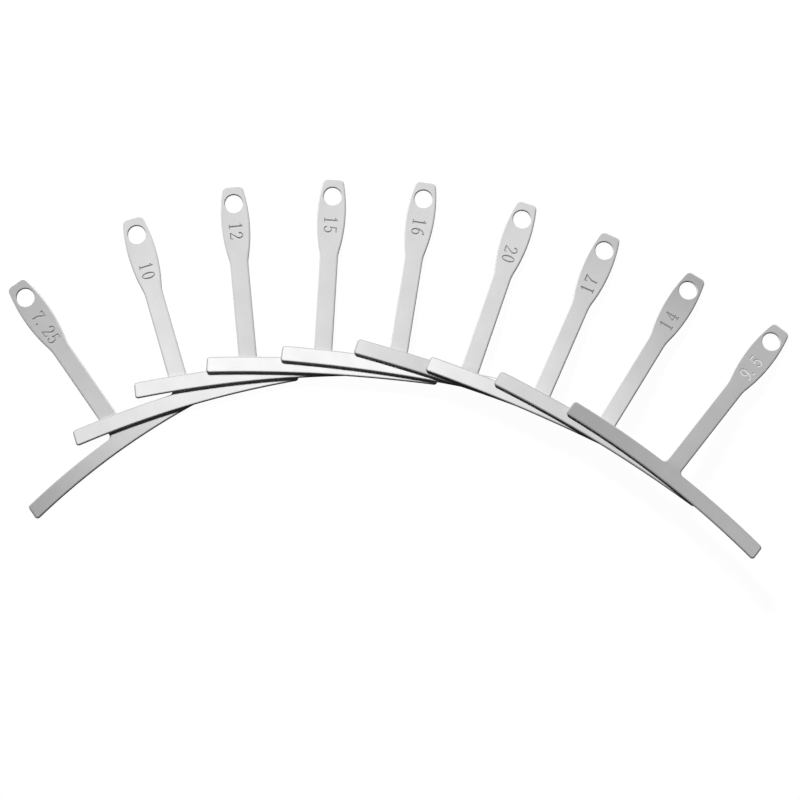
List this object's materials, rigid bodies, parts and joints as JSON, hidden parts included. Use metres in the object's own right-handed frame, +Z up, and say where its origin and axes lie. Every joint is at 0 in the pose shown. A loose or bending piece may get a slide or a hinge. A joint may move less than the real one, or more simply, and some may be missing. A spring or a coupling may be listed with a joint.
{
  "type": "guitar radius gauge",
  "caption": "Fan of flat T-shaped steel gauges, each with a blade edge bowed to one fretboard radius and a waisted handle with a hanging hole.",
  "frame": {"origin": "centre of the fan's bounding box on the surface that it lies on", "axes": "+X along the fan from the 7.25 inch gauge to the 9.5 inch gauge, +Y towards the heads of the handles, +Z up off the table"},
  "size_m": [0.2037, 0.0998, 0.009],
  "materials": {
    "steel": "satin brushed, edges softly broken"
  },
  "bodies": {
    "gauge_7_25": {"gauge_7_25": "steel"},
    "gauge_10": {"gauge_10": "steel"},
    "gauge_12": {"gauge_12": "steel"},
    "gauge_15": {"gauge_15": "steel"},
    "gauge_16": {"gauge_16": "steel"},
    "gauge_20": {"gauge_20": "steel"},
    "gauge_17": {"gauge_17": "steel"},
    "gauge_14": {"gauge_14": "steel"},
    "gauge_9_5": {"gauge_9_5": "steel"}
  },
  "joints": [
    {"name": "lift_10", "type": "slide", "parent": "gauge_7_25", "child": "gauge_10", "axis": [0, 0, 1], "range_m": [0, 0.03]},
    {"name": "lift_12", "type": "slide", "parent": "gauge_10", "child": "gauge_12", "axis": [0, 0, 1], "range_m": [0, 0.03]},
    {"name": "lift_15", "type": "slide", "parent": "gauge_12", "child": "gauge_15", "axis": [0, 0, 1], "range_m": [0, 0.03]},
    {"name": "lift_16", "type": "slide", "parent": "gauge_15", "child": "gauge_16", "axis": [0, 0, 1], "range_m": [0, 0.03]},
    {"name": "lift_20", "type": "slide", "parent": "gauge_16", "child": "gauge_20", "axis": [0, 0, 1], "range_m": [0, 0.03]},
    {"name": "lift_17", "type": "slide", "parent": "gauge_20", "child": "gauge_17", "axis": [0, 0, 1], "range_m": [0, 0.03]},
    {"name": "lift_14", "type": "slide", "parent": "gauge_17", "child": "gauge_14", "axis": [0, 0, 1], "range_m": [0, 0.03]},
    {"name": "lift_9_5", "type": "slide", "parent": "gauge_14", "child": "gauge_9_5", "axis": [0, 0, 1], "range_m": [0, 0.03]}
  ]
}
